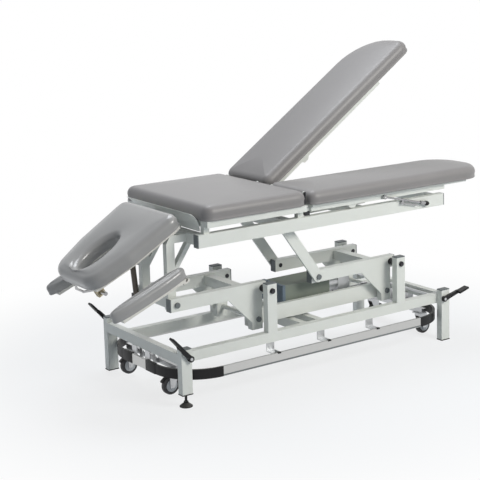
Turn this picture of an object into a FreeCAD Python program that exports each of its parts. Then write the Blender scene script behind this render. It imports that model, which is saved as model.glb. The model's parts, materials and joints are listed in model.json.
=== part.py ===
import FreeCAD, Part
import math
import os

# Treatment couch. Sizes are laid out in mm at a handy size, and one factor brings
# them to full size. X runs from the head end to the foot end, Y from the near side
# to the far side, Z up from the floor.
FULL_SIZE = 1.1

# Point of the drawing that becomes the origin
MID_X = 632.0
MID_Y = 300.0

# Base frame
BASE_L = 1360.0
BASE_W = 600.0
LEG_X = 45.0
LEG_Y = 30.0
LEG_TOP = 222.0
SHOE_T = 4.0
SHORT_LEG_Z = 50.0
RAIL_TOP = 203.0
RAIL_H = 40.0
RAIL_W = 30.0
CROSS_X = 28.0
NEAR_RAIL_Y = 30.0
FAR_RAIL_Y = 415.0
MID_CROSS_X = (600.0, 680.0)
MID_CROSS_W = 30.0
CAP_T = 4.0
FOOT_R = 25.0
FOOT_T = 12.0
SPINDLE_R = 5.0

# Lift
PIVOT_X = (442.5, 1110.5)
PIVOT_Z = 369.0
POST_W = 45.0
POST_TOP = 396.0
PIVOT_R = 9.0
FIT = 0.05
LEVER_ARM = 395.0
LEVER_Y = (96.0, 345.0)
LEVER_W = 30.0
LEVER_H = 50.0
LEVER_TIP = 26.0
LEVER_TAIL = 17.5
CROSS_TUBE_X = 90.0
CROSS_TUBE = 40.0
ARM_X = (-52.0, -2.0)
ARM_DROP = 164.0
LOW_PIN = (-22.0, -124.0)
GUSSET_X = 160.0
GUSSET_T = 8.0
BUSH_R = 15.0
BOLT_R = 11.0
BOLT_T = 6.0
LINK_BAR_Y = (130.0, 150.0)
LINK_BAR_H = 62.0
LINK_BAR_END = 30.0

# Drive
DRIVE_BOX = (600.0, 830.0, 160.0, 300.0, 258.0, 335.0)
DRIVE_COVER_T = 14.0
MOTOR_R = 36.0
MOTOR_X = 890.0
GEAR_X = 950.0
DRIVE_Y = 215.0
DRIVE_Z = 250.0
GEAR_HALF = 38.0
TUBE_R = 14.0
TUBE_X = 978.0
ROD_R = 9.0
ROD_X = 1074.0
ROD_IN = 865.0

# Upper frame
TOP_RAIL_X = (112.0, 1354.0)
TOP_RAIL_Z = (589.0, 639.0)
TOP_CROSS_X = (120.0, 530.0, 905.0, 1300.0)
TOP_CROSS_W = 40.0
COLUMN_X = (30.0, 66.0)
COLUMN_Y = (130.0, 320.0)
COLUMN_W = 25.0
COLUMN_TOP = 647.0
LINK_Y = (84.0, 377.0)
LINK_T = 10.0
LINK_HALF = 22.5
LINK_TOP = (550.0, 600.0)
SEAT_FRAME_Z = (665.0, 690.0)
SEAT_TUBE = 25.0

COLUMN_TIE_Z = (350.0, 390.0)
STRUT_FOOT = (-14.0, 370.0)
STRUT_TOP = (-58.0, 634.0)
STRUT_Y = 292.0
STRUT_TUBE_R = 11.0
STRUT_TUBE_L = 130.0
STRUT_ROD_R = 5.0
STAY_FOOT = (638.0, 652.0)
STAY_TIP = (858.0, 655.0)
STAY_Y = (66.0, 401.0)
STAY_T = 8.0
STAY_LEN = 312.0
STAY_HALF = 10.0
RELEASE_PIN = (1015.0, 668.0)
RELEASE_TIP = (1245.0, 612.0)
RELEASE_Y = 19.0
RELEASE_R = 4.0

# Table top
TOP_C = 308.0
HEAD_C = 296.0
TOP_HALF = 308.0
SEAT_X = (130.0, 606.0)
PAD_Z = (690.0, 748.0)
PAD_EDGE = 11.0
LEG_HINGE = (614.5, 735.0)
LEG_PAD_X = (623.0, 1571.0)
LEG_PAD_Z = (688.0, 742.0)
LEG_BOARD_T = 10.0
LEG_TUBE = 20.0
LEG_GAP = 8.0
FAR_LEG_UP = 34.5

# Head section, drawn level and then tipped about its hinge
HEAD_HINGE = (60.0, 650.0)
HEAD_DOWN = 31.0
HEAD_REAR = 100.0
HEAD_LEN = 421.0
HEAD_REAR_HALF = 205.0
HEAD_FRONT_HALF = 150.0
HEAD_PAD_Z = (658.0, 712.0)
HEAD_BOARD_T = 12.0
HOLE_X = -175.0
HOLE_R = (105.0, 58.0)
COVER_R = 76.0
COVER_T = 2.0

# Arm rests, drawn level and then tipped about their hinge
ARM_HINGE = (50.0, 480.0)
ARM_DOWN = 22.0
ARM_PAD_X = (-276.0, 62.0)
ARM_Y = (8.0, 520.0)
ARM_WIDE = 64.0
ARM_PAD_Z = (490.0, 532.0)
ARM_BOARD_T = 12.0

# Castors and pedals
PEDAL_X = (36.0, 1324.0)
PEDAL_Z = 187.0
PEDAL_SHAFT_R = 6.0
PEDAL_LEN = 128.0
PEDAL_ANGLE = (132.0, 15.0)
CASTOR_X = (52.0, 1312.0)
CASTOR_Y = (140.0, 460.0)
CASTOR_LOW = (12.0, 2.0)
WHEEL_R = 36.0
WHEEL_W = 22.0
HUB_R = 24.0
TRAIL = 20.0

# Foot bar round the base
BAR_OUT = 12.0
BAR_T = 10.0
BAR_Z = (91.0, 130.0)
BAR_BEND = 190.0
BEND_ARCS = 5
HANGER_T = 4.0
HANGER_W = 36.0
HANGER_NEAR_X = (440.0, 692.0, 948.0)
HANGER_END_Y = (250.0, 350.0)
GUIDE_W = 20.0
SEAT_CLEAR = 0.3


def V(x, y, z):
    return FreeCAD.Vector(x, y, z)


def box(x0, x1, y0, y1, z0, z1):
    return Part.makeBox(x1 - x0, y1 - y0, z1 - z0, V(x0, y0, z0))


def rod_y(x, z, y0, y1, r):
    return Part.makeCylinder(r, y1 - y0, V(x, y0, z), V(0, 1, 0))


def rod_x(y, z, x0, x1, r):
    return Part.makeCylinder(r, x1 - x0, V(x0, y, z), V(1, 0, 0))


def rod_z(x, y, z0, z1, r):
    return Part.makeCylinder(r, z1 - z0, V(x, y, z0), V(0, 0, 1))


def slab(points, y0, y1):
    """Outline drawn in X and Z, given a thickness along Y."""
    loop = [V(x, y0, z) for x, z in points]
    loop.append(loop[0])
    return Part.Face(Part.makePolygon(loop)).extrude(V(0, y1 - y0, 0))


def sheet(points, z0, z1):
    """Outline drawn in X and Y, given a thickness along Z."""
    loop = [V(x, y, z0) for x, y in points]
    loop.append(loop[0])
    return Part.Face(Part.makePolygon(loop)).extrude(V(0, 0, z1 - z0))


def fuse(shapes):
    whole = shapes[0]
    for shape in shapes[1:]:
        whole = whole.fuse(shape)
    return whole.removeSplitter()


def stack(shapes):
    """Keep every piece a solid of its own, each cut clear of the ones before it."""
    kept = []
    for shape in shapes:
        for other in kept:
            if shape.BoundBox.intersect(other.BoundBox):
                shape = shape.cut(other)
        kept += shape.Solids
    return Part.makeCompound(kept)


def tip(shape, centre, degrees):
    """Turn about a Y axis; a positive angle lifts the head-end side."""
    shape.rotate(V(centre[0], 0, centre[1]), V(0, 1, 0), degrees)
    return shape


def upright_edges(shape):
    found = []
    for edge in shape.Edges:
        a = edge.Vertexes[0].Point
        b = edge.Vertexes[-1].Point
        if math.hypot(a.x - b.x, a.y - b.y) < 0.01:
            found.append(edge)
    return found


def flat_edges(shape, z):
    found = []
    for edge in shape.Edges:
        if all(abs(v.Point.z - z) < 0.01 for v in edge.Vertexes):
            found.append(edge)
    return found


def save(node, shape):
    shape.translate(V(-MID_X, -MID_Y, 0))
    shape.scale(FULL_SIZE, V(0, 0, 0))
    shape.exportStep("parts/" + node + ".step")


def leg_corners():
    far_y = BASE_W - LEG_Y
    end_x = BASE_L - LEG_X
    return [(0.0, 0.0), (0.0, far_y), (end_x, 0.0), (end_x, far_y)]


def leg_bottom(corner):
    return SHORT_LEG_Z if corner == (0.0, 0.0) else SHOE_T


def cross_bores(shape):
    for x in PEDAL_X:
        shape = shape.cut(rod_y(x, PEDAL_Z, -1, BASE_W + 1, PEDAL_SHAFT_R + FIT))
    return shape


def base_frame():
    legs = []
    for x, y in leg_corners():
        legs.append(box(x, x + LEG_X, y, y + LEG_Y, leg_bottom((x, y)), LEG_TOP))
    bore = rod_z(LEG_X / 2, LEG_Y / 2, SHORT_LEG_Z, SHORT_LEG_Z + 60, SPINDLE_R + FIT)
    save("base_legs", cross_bores(Part.makeCompound(legs)).cut(bore))
    low = RAIL_TOP - RAIL_H
    ends = []
    for x in (0.0, BASE_L - CROSS_X):
        ends.append(box(x, x + CROSS_X, LEG_Y, BASE_W - LEG_Y, low, RAIL_TOP))
    for x in MID_CROSS_X:
        ends.append(box(x, x + MID_CROSS_W, NEAR_RAIL_Y + RAIL_W, FAR_RAIL_Y, low, RAIL_TOP))
    save("base_crossbars", Part.makeCompound(ends))
    rails = []
    posts = []
    half = POST_W / 2
    for y in (NEAR_RAIL_Y, FAR_RAIL_Y):
        rails.append(box(CROSS_X, BASE_L - CROSS_X, y, y + RAIL_W, low, RAIL_TOP))
        for x in PIVOT_X:
            posts.append(box(x - half, x + half, y, y + RAIL_W, RAIL_TOP, POST_TOP))
    save("base_rails", cross_bores(Part.makeCompound(rails)))
    save("lift_posts", Part.makeCompound(posts))


def frame_caps():
    caps = []
    for x, y in leg_corners():
        caps.append(box(x, x + LEG_X, y, y + LEG_Y, LEG_TOP, LEG_TOP + CAP_T))
    for x in PIVOT_X:
        for y in (NEAR_RAIL_Y, FAR_RAIL_Y):
            half = POST_W / 2
            caps.append(box(x - half, x + half, y, y + RAIL_W, POST_TOP, POST_TOP + CAP_T))
    save("frame_caps", Part.makeCompound(caps))


def leg_shoes():
    shoes = []
    for x, y in leg_corners():
        top = leg_bottom((x, y))
        shoe = box(x - 1, x + LEG_X + 1, y - 1, y + LEG_Y + 1, top - SHOE_T, top)
        if top > SHOE_T:
            shoe = shoe.cut(rod_z(LEG_X / 2, LEG_Y / 2, 0, top + 1, SPINDLE_R + FIT))
        shoes.append(shoe)
    save("leg_shoes", Part.makeCompound(shoes))


def levelling_foot():
    x = LEG_X / 2
    y = LEG_Y / 2
    spindle = rod_z(x, y, FOOT_T, SHORT_LEG_Z + 50, SPINDLE_R)
    pad = Part.makeCone(FOOT_R, SPINDLE_R + 5, FOOT_T, V(x, y, 3), V(0, 0, 1))
    rim = rod_z(x, y, 0, 3, FOOT_R)
    nut = rod_z(x, y, FOOT_T + 3, FOOT_T + 9, SPINDLE_R + 4)
    save("levelling_foot", fuse([spindle, pad, rim, nut]))


def lift_pivots():
    pins = []
    for x in PIVOT_X:
        start = NEAR_RAIL_Y - BOLT_T
        near = rod_y(x, PIVOT_Z, start, NEAR_RAIL_Y, BOLT_R)
        pin = rod_y(x, PIVOT_Z, NEAR_RAIL_Y + RAIL_W, LEVER_Y[0] + LEVER_W + 2, PIVOT_R)
        bush = rod_y(x, PIVOT_Z, NEAR_RAIL_Y + RAIL_W, LEVER_Y[0] - 1, BUSH_R)
        pins += [near, pin.fuse(bush)]
        far_pin = rod_y(x, PIVOT_Z, LEVER_Y[1] - 2, FAR_RAIL_Y, PIVOT_R)
        far_bush = rod_y(x, PIVOT_Z, LEVER_Y[1] + LEVER_W + 1, FAR_RAIL_Y, BUSH_R)
        end = FAR_RAIL_Y + RAIL_W
        pins += [far_pin.fuse(far_bush), rod_y(x, PIVOT_Z, end, end + BOLT_T, BOLT_R)]
    save("lift_pivots", Part.makeCompound(pins))


def lever_outline(x):
    left = x - LEVER_ARM - LEVER_TIP
    right = x + LEVER_TAIL
    low = PIVOT_Z - LEVER_H / 2
    return left, right, low


def lever(node, x):
    left, right, low = lever_outline(x)
    pieces = []
    for side, y in enumerate(LEVER_Y):
        pieces.append(box(left, right, y, y + LEVER_W, low, low + LEVER_H))
        foot = PIVOT_Z - ARM_DROP
        pieces.append(box(x + ARM_X[0], x + ARM_X[1], y, y + LEVER_W, foot, low))
        face = y if side == 0 else y + LEVER_W - GUSSET_T
        corner = [(x - GUSSET_X, low), (x + ARM_X[0], low), (x + ARM_X[0], low - 108)]
        pieces.append(slab(corner, face, face + GUSSET_T))
    inner = LEVER_Y[0] + LEVER_W
    half = CROSS_TUBE / 2
    mid = x - CROSS_TUBE_X
    pieces.append(box(mid - half, mid + half, inner, LEVER_Y[1], PIVOT_Z - half, PIVOT_Z + half))
    pieces.append(rod_y(x + LOW_PIN[0], PIVOT_Z + LOW_PIN[1], inner, LEVER_Y[1], PIVOT_R))
    whole = stack(pieces)
    for px, r in ((x, PIVOT_R), (x - LEVER_ARM, PIVOT_R)):
        whole = whole.cut(rod_y(px, PIVOT_Z, 0, BASE_W, r + FIT))
    save(node, whole)


def lever_caps(node, x):
    left, right, low = lever_outline(x)
    caps = []
    for y in LEVER_Y:
        caps.append(box(left - CAP_T, left, y, y + LEVER_W, low, low + LEVER_H))
        caps.append(box(right, right + CAP_T, y, y + LEVER_W, low, low + LEVER_H))
    px = x + LOW_PIN[0]
    pz = PIVOT_Z + LOW_PIN[1]
    caps.append(rod_y(px, pz, LEVER_Y[0] - BOLT_T, LEVER_Y[0], BOLT_R))
    end = LEVER_Y[1] + LEVER_W
    caps.append(rod_y(px, pz, end, end + BOLT_T, BOLT_R))
    save(node, Part.makeCompound(caps))


def link_bar():
    a = PIVOT_X[0] + LOW_PIN[0]
    b = PIVOT_X[1] + LOW_PIN[0]
    z = PIVOT_Z + LOW_PIN[1]
    half = LINK_BAR_H / 2
    bar = box(a - LINK_BAR_END, b + LINK_BAR_END, LINK_BAR_Y[0], LINK_BAR_Y[1], z - half, z + half)
    for x in (a, b):
        bar = bar.cut(rod_y(x, z, 0, BASE_W, PIVOT_R + FIT))
    save("link_bar", bar)


def drive_unit():
    x0, x1, y0, y1, z0, z1 = DRIVE_BOX
    body = box(x0, x1, y0, y1, z0, z1)
    feet = []
    for x in MID_CROSS_X:
        feet.append(box(x + 4, x + 26, y0 + 20, y0 + 50, RAIL_TOP, z0))
        feet.append(box(x + 4, x + 26, y1 - 50, y1 - 20, RAIL_TOP, z0))
    save("drive_box", fuse([body] + feet))
    cover = box(x0 - DRIVE_COVER_T, x0, y0 - 3, y1 + 3, z0 - 3, z1 + 3)
    save("drive_cover", cover)
    mid_z = (z0 + z1) / 2
    motor = rod_x(DRIVE_Y, mid_z, x1, MOTOR_X, MOTOR_R)
    gear = box(MOTOR_X, GEAR_X, DRIVE_Y - GEAR_HALF, DRIVE_Y + GEAR_HALF, DRIVE_Z - 20, z1)
    tube = rod_x(DRIVE_Y, DRIVE_Z, GEAR_X, TUBE_X, TUBE_R)
    motor_set = fuse([motor, gear, tube])
    bore = rod_x(DRIVE_Y, DRIVE_Z, ROD_IN, TUBE_X + 1, ROD_R + FIT)
    save("drive_motor", motor_set.cut(bore))
    rod = rod_x(DRIVE_Y, DRIVE_Z, ROD_IN + 75, ROD_X - 12, ROD_R)
    eye = box(ROD_X - 26, ROD_X, DRIVE_Y - 9, DRIVE_Y + 9, DRIVE_Z - 12, DRIVE_Z + 12)
    save("drive_rod", fuse([rod, eye]))


def column_outline():
    x0, x1 = COLUMN_X
    low = PIVOT_Z - 25
    return [(x0, low), (x1, low), (x1, COLUMN_TOP), (x1 - 8, COLUMN_TOP), (x0, COLUMN_TOP - 47)]


def slant_link(y):
    pin_x = PIVOT_X[1] - LEVER_ARM
    dx = LINK_TOP[0] - pin_x
    dz = LINK_TOP[1] - PIVOT_Z
    size = math.hypot(dx, dz)
    ux = -dz / size * LINK_HALF
    uz = dx / size * LINK_HALF
    a = (pin_x + ux, PIVOT_Z + uz)
    b = (pin_x - ux, PIVOT_Z - uz)
    c = (LINK_TOP[0] - ux, LINK_TOP[1] - uz)
    d = (LINK_TOP[0] + ux, LINK_TOP[1] + uz)
    bar = slab([a, b, c, d], y, y + LINK_T)
    return bar.fuse(rod_y(pin_x, PIVOT_Z, y, y + LINK_T, LINK_HALF))


def upper_pins(a_x, b_x):
    pins = []
    c0 = COLUMN_Y[0]
    c1 = COLUMN_Y[1] + COLUMN_W
    pins.append(rod_y(a_x, PIVOT_Z, LEVER_Y[0] - 1, c0, PIVOT_R))
    pins.append(rod_y(a_x, PIVOT_Z, c1, LEVER_Y[1] + LEVER_W + 1, PIVOT_R))
    pins.append(rod_y(b_x, PIVOT_Z, LINK_Y[0] + LINK_T, LEVER_Y[0] + LEVER_W + 1, PIVOT_R))
    pins.append(rod_y(b_x, PIVOT_Z, LEVER_Y[1] - 1, LINK_Y[1], PIVOT_R))
    return pins


def brace(y):
    start = COLUMN_X[1]
    return slab([(start, 478), (start, 508), (150, 634), (150, 600)], y, y + COLUMN_W)


def upper_frame():
    z0, z1 = TOP_RAIL_Z
    inner = NEAR_RAIL_Y + RAIL_W
    rails = []
    for y in (NEAR_RAIL_Y, FAR_RAIL_Y):
        rails.append(box(TOP_RAIL_X[0], TOP_RAIL_X[1], y, y + RAIL_W, z0, z1))
    save("top_rails", Part.makeCompound(rails))
    cross = []
    for x in TOP_CROSS_X:
        cross.append(box(x, x + TOP_CROSS_W, inner, FAR_RAIL_Y, z0 + 5, z1 - 5))
    cross_set = Part.makeCompound(cross)
    save("top_crossbars", stack(cross + seat_frame()))
    columns = []
    for y in COLUMN_Y:
        columns.append(slab(column_outline(), y, y + COLUMN_W))
        columns.append(box(COLUMN_X[1], TOP_CROSS_X[0], y, y + COLUMN_W, z0 + 11, z1 - 9))
        columns.append(brace(y).cut(cross_set))
    low, high = COLUMN_TIE_Z
    columns.append(box(COLUMN_X[0] + 3, COLUMN_X[1] - 3, COLUMN_Y[0] + COLUMN_W, COLUMN_Y[1], low, high))
    save("columns", stack(columns))
    links = []
    for y in LINK_Y:
        links.append(slant_link(y).cut(cross_set))
    save("slant_links", Part.makeCompound(links))
    pins = upper_pins(PIVOT_X[0] - LEVER_ARM, PIVOT_X[1] - LEVER_ARM)
    pins += arm_stubs() + hinge_pins() + stay_pins() + leg_hinge_lugs()
    save("upper_pins", Part.makeCompound(pins))


def hinge_pins():
    """Head-section hinge stubs and the lower pin of its strut."""
    x, z = HEAD_HINGE
    pins = [rod_y(x, z, COLUMN_Y[0] - 20, COLUMN_Y[0], 4)]
    far = COLUMN_Y[1] + COLUMN_W
    pins.append(rod_y(x, z, far, far + 20, 4))
    sx, sz = STRUT_FOOT
    lug = box(sx - 10, COLUMN_X[0] + 3, STRUT_Y + 14, STRUT_Y + 22, sz - 12, sz + 16)
    pins.append(lug.fuse(rod_y(sx, sz, STRUT_Y - 12, STRUT_Y + 14, 5)))
    return pins


def leg_hinge_lugs():
    """Lugs and small pins in the gap between the seat and the leg sections."""
    x, z = LEG_HINGE
    lugs = []
    for y0, y1 in leg_halves():
        for y, pin0, pin1 in ((y0 + 28, y0 + 28, y0 + 50), (y1 - 40, y1 - 52, y1 - 32)):
            plate = slab([(SEAT_X[1], 668), (x - 4, 668), (x + 2, z - 3), (x + 2, z + 4), (x - 4, z + 4),
                          (SEAT_X[1] + 1, 694), (SEAT_X[1], 690)], y, y + 8)
            lugs.append(plate.fuse(rod_y(x, z, pin0, pin1, 2.5)))
    return lugs


def stay_pins():
    x, z = STAY_FOOT
    near = box(x - 12, x + 12, STAY_Y[0] - 16, STAY_Y[0] - 6, TOP_RAIL_Z[1], z + 10)
    far = box(x - 12, x + 12, STAY_Y[1] + STAY_T + 6, STAY_Y[1] + STAY_T + 16, TOP_RAIL_Z[1], z + 10)
    near = near.fuse(rod_y(x, z, STAY_Y[0] - 8, STAY_Y[0] + STAY_T + 3, 5))
    far = far.fuse(rod_y(x, z, STAY_Y[1] - 3, STAY_Y[1] + STAY_T + 8, 5))
    return [near, far]


def seat_frame():
    z0, z1 = SEAT_FRAME_Z
    x0 = SEAT_X[0] + 10
    x1 = SEAT_X[1]
    y0 = TOP_C - TOP_HALF + 10
    y1 = TOP_C + TOP_HALF - 10
    tubes = []
    for y in (y0, y1 - SEAT_TUBE):
        tubes.append(box(x0, x1, y, y + SEAT_TUBE, z0, z1))
    for x in (x0, x1 - SEAT_TUBE):
        tubes.append(box(x, x + SEAT_TUBE, y0 + SEAT_TUBE, y1 - SEAT_TUBE, z0, z1))
    for y in (NEAR_RAIL_Y, FAR_RAIL_Y):
        for x in (x0, x1 - SEAT_TUBE):
            tubes.append(box(x, x + SEAT_TUBE, y + 7, y + RAIL_W, TOP_RAIL_Z[1], z0))
    return tubes


def arm_stubs():
    x, z = ARM_HINGE
    stubs = []
    stubs.append(rod_y(x, z, ARM_Y[0] + 30, COLUMN_Y[0], 8))
    stubs.append(rod_y(x, z, COLUMN_Y[1] + COLUMN_W, ARM_Y[1] + ARM_WIDE - 30, 8))
    return stubs


def upper_caps():
    z0, z1 = TOP_RAIL_Z
    caps = []
    for y in (NEAR_RAIL_Y, FAR_RAIL_Y):
        caps.append(box(TOP_RAIL_X[0] - CAP_T, TOP_RAIL_X[0], y, y + RAIL_W, z0, z1))
        caps.append(box(TOP_RAIL_X[1], TOP_RAIL_X[1] + CAP_T, y, y + RAIL_W, z0, z1))
    b_x = PIVOT_X[1] - LEVER_ARM
    caps.append(rod_y(b_x, PIVOT_Z, LINK_Y[0] - BOLT_T, LINK_Y[0], BOLT_R))
    end = LINK_Y[1] + LINK_T
    caps.append(rod_y(b_x, PIVOT_Z, end, end + BOLT_T, BOLT_R))
    a_x = PIVOT_X[0] - LEVER_ARM
    caps.append(rod_y(a_x, PIVOT_Z, LEVER_Y[0] - 1 - BOLT_T, LEVER_Y[0] - 1, BOLT_R))
    far = LEVER_Y[1] + LEVER_W + 1
    caps.append(rod_y(a_x, PIVOT_Z, far, far + BOLT_T, BOLT_R))
    save("upper_caps", Part.makeCompound(caps))


def head_cover():
    x, z = HEAD_HINGE
    y0 = 60.0
    y1 = 2 * HEAD_C - y0
    ring = rod_y(x, z, y0, y1, COVER_R + COVER_T)
    ring = ring.cut(rod_y(x, z, y0 - 1, y1 + 1, COVER_R))
    wedge = slab([(x + 5, z + 9.4), (x + 55, z + 103.4), (x + 140, z + 103), (x + 140, z - 4),
                  (x + 40, z - 4)], y0, y1)
    shell = ring.common(wedge)
    tab = []
    for y in (150.0, 410.0):
        tab.append(box(x + COVER_R - 3, SEAT_X[0] + 10, y, y + 30, 668, 672))
    save("head_cover", fuse([shell] + tab))


def seat_pad():
    y0 = TOP_C - TOP_HALF
    pad = box(SEAT_X[0], SEAT_X[1], y0, TOP_C + TOP_HALF, PAD_Z[0], PAD_Z[1])
    pad = pad.makeFillet(22.0, upright_edges(pad))
    pad = pad.makeChamfer(PAD_EDGE, flat_edges(pad, PAD_Z[1]))
    save("seat_pad", pad)


def leg_pad(y0, y1):
    x0, x1 = LEG_PAD_X
    z0, z1 = LEG_PAD_Z
    pad = box(x0, x1, y0, y1, z0, z1)
    tips = []
    heels = []
    for edge in upright_edges(pad):
        if edge.Vertexes[0].Point.x > x1 - 1:
            tips.append(edge)
        else:
            heels.append(edge)
    pad = pad.makeFillet(100.0, tips)
    heels = [e for e in upright_edges(pad) if e.Vertexes[0].Point.x < x0 + 1]
    pad = pad.makeFillet(20.0, heels)
    return pad.makeChamfer(PAD_EDGE, flat_edges(pad, z1))


def leg_frame(y0, y1):
    hx, hz = LEG_HINGE
    z1 = LEG_PAD_Z[0]
    z0 = z1 - LEG_BOARD_T
    board = box(LEG_PAD_X[0] + 18, LEG_PAD_X[1] - 95, y0 + 18, y1 - 18, z0, z1)
    tubes = []
    for y in (y0 + 30, y1 - 50):
        tubes.append(box(LEG_PAD_X[0] + 20, 1360, y, y + LEG_TUBE, z0 - LEG_TUBE, z0))
    tubes.append(box(1340, 1360, y0 + 50, y1 - 50, z0 - LEG_TUBE, z0))
    ears = []
    for y in (y0 + 40, y1 - 50):
        ear = [(hx - 4, hz), (hx, hz + 4), (hx + 5, hz + 4), (hx + 5, z0 - 2), (hx + 38, z0 - 2),
               (hx + 38, z0 - 18), (hx, z0 - 18)]
        ears.append(slab(ear, y, y + 8).cut(rod_y(hx, hz, y - 1, y + 9, 2.5 + FIT)))
    bracket = slab([(833, z0 - LEG_TUBE), (883, z0 - LEG_TUBE), (869, z0 - 35), (847, z0 - 35)],
                   y0 + 36, y0 + 42)
    whole = fuse([board, bracket] + tubes + ears)
    return whole


def leg_halves():
    near = (TOP_C - TOP_HALF, TOP_C - LEG_GAP / 2)
    far = (TOP_C + LEG_GAP / 2, TOP_C + TOP_HALF)
    return near, far


def release_lever():
    """Twin-rod lever with a grip that frees the near leg section."""
    x, z = RELEASE_PIN
    y = RELEASE_Y
    length = math.hypot(RELEASE_TIP[0] - x, RELEASE_TIP[1] - z)
    angle = heading_of(RELEASE_PIN, RELEASE_TIP)
    pieces = [rod_x(y, z, x, x + length - 30, RELEASE_R), rod_y(x, z, y - 6, y + 6, 9)]
    pieces.append(rod_x(y, z - 14, x + 100, x + length - 50, 3))
    pieces.append(box(x + 96, x + 106, y - 3, y + 3, z - 19, z + 5))
    pieces.append(rod_x(y, z, x + length - 34, x + length, 8))
    lever = fuse(pieces).cut(rod_y(x, z, y - 8, y + 8, 3 + FIT))
    save("release_lever", tip(lever, RELEASE_PIN, -angle))


def leg_sections():
    near, far = leg_halves()
    save("leg_pad_near", leg_pad(near[0], near[1]))
    pin = rod_y(RELEASE_PIN[0], RELEASE_PIN[1], RELEASE_Y - 7, near[0] + 31, 3)
    save("leg_frame_near", leg_frame(near[0], near[1]).fuse(pin))
    save("leg_pad_far", tip(leg_pad(far[0], far[1]), LEG_HINGE, -FAR_LEG_UP))
    save("leg_frame_far", tip(leg_frame(far[0], far[1]), LEG_HINGE, -FAR_LEG_UP))


def head_outline(inset):
    front = HEAD_REAR - HEAD_LEN + inset
    rear = HEAD_REAR - inset
    wide = HEAD_REAR_HALF - inset
    slim = HEAD_FRONT_HALF - inset
    return [(rear, HEAD_C - wide), (rear, HEAD_C + wide), (front + 170, HEAD_C + wide - 14),
            (front, HEAD_C + slim), (front, HEAD_C - slim), (front + 170, HEAD_C - wide + 14)]


def oval(grow, z0, z1):
    a = HOLE_R[0] + grow
    b = HOLE_R[1] + grow
    plug = Part.makeCylinder(b, z1 - z0, V(0, 0, z0))
    stretch = FreeCAD.Matrix()
    stretch.A11 = a / b
    plug = plug.transformGeometry(stretch)
    plug.translate(V(HOLE_X, HEAD_C, 0))
    return plug


def head_section():
    z0, z1 = HEAD_PAD_Z
    pad = sheet(head_outline(0.0), z0, z1)
    pad = pad.makeFillet(45.0, upright_edges(pad))
    pad = pad.makeChamfer(PAD_EDGE, flat_edges(pad, z1))
    pad = pad.cut(oval(0.0, z0 - 1, z1 + 1))
    save("head_pad", tip(pad, HEAD_HINGE, -HEAD_DOWN))
    low = z0 - HEAD_BOARD_T
    board = sheet(head_outline(16.0), low, z0)
    board = board.cut(oval(8.0, low - 1, z0 + 1))
    notch = box(0, 100, COLUMN_Y[0] - 3, COLUMN_Y[1] + COLUMN_W + 3, low - 1, z0)
    board = board.cut(notch)
    x, z = HEAD_HINGE
    tabs = []
    for y in (COLUMN_Y[0] - 14, COLUMN_Y[1] + COLUMN_W + 4):
        tab = box(x - 14, x + 12, y, y + 10, z - 10, z0)
        tabs.append(tab)
    sx, sz = STRUT_TOP
    tabs.append(box(sx - 12, sx + 12, STRUT_Y + 13, STRUT_Y + 19, sz - 10, low))
    board = fuse([board] + tabs)
    far = COLUMN_Y[1] + COLUMN_W
    for y in (COLUMN_Y[0] - 21, far):
        board = board.cut(rod_y(x, z, y, y + 21, 4 + FIT))
    save("head_board", tip(board, HEAD_HINGE, -HEAD_DOWN))


def turned(point, centre, degrees):
    turn = math.radians(degrees)
    dx = point[0] - centre[0]
    dz = point[1] - centre[1]
    return (centre[0] + dx * math.cos(turn) - dz * math.sin(turn),
            centre[1] + dx * math.sin(turn) + dz * math.cos(turn))


def heading_of(a, b):
    return math.degrees(math.atan2(b[1] - a[1], b[0] - a[0]))


def head_strut():
    x, z = STRUT_FOOT
    top = turned(STRUT_TOP, HEAD_HINGE, HEAD_DOWN)
    length = math.hypot(top[0] - x, top[1] - z)
    angle = heading_of(STRUT_FOOT, top)
    tube = rod_x(STRUT_Y, z, x + 8, x + STRUT_TUBE_L, STRUT_TUBE_R)
    tube = tube.fuse(rod_y(x, z, STRUT_Y - 8, STRUT_Y + 8, 10))
    tube = tube.cut(rod_y(x, z, STRUT_Y - 9, STRUT_Y + 9, 5 + FIT))
    tube = tube.cut(rod_x(STRUT_Y, z, x + 22, x + STRUT_TUBE_L + 1, STRUT_ROD_R + FIT))
    save("head_strut_tube", tip(tube, STRUT_FOOT, -angle))
    rod = rod_x(STRUT_Y, z, x + 50, x + length - 6, STRUT_ROD_R)
    eye = rod_y(x + length, z, STRUT_Y - 6, STRUT_Y + 6, 9)
    eye = eye.cut(rod_y(x + length, z, STRUT_Y - 7, STRUT_Y + 7, 5))
    save("head_strut_rod", tip(rod.fuse(eye), STRUT_FOOT, -angle))


def leg_stays():
    for name, y, lift in (("near", STAY_Y[0], 0.0), ("far", STAY_Y[1], FAR_LEG_UP)):
        x, z = STAY_FOOT
        angle = heading_of(STAY_FOOT, turned(STAY_TIP, LEG_HINGE, lift))
        bar = box(x - 12, x + STAY_LEN, y, y + STAY_T, z - STAY_HALF, z + STAY_HALF)
        bar = bar.cut(rod_y(x, z, y - 1, y + STAY_T + 1, 5 + FIT))
        slot = box(x + 212, x + STAY_LEN - 10, y - 1, y + STAY_T + 1, z - 4, z + 4)
        save("leg_stay_" + name, tip(bar.cut(slot), STAY_FOOT, -angle))


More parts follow.
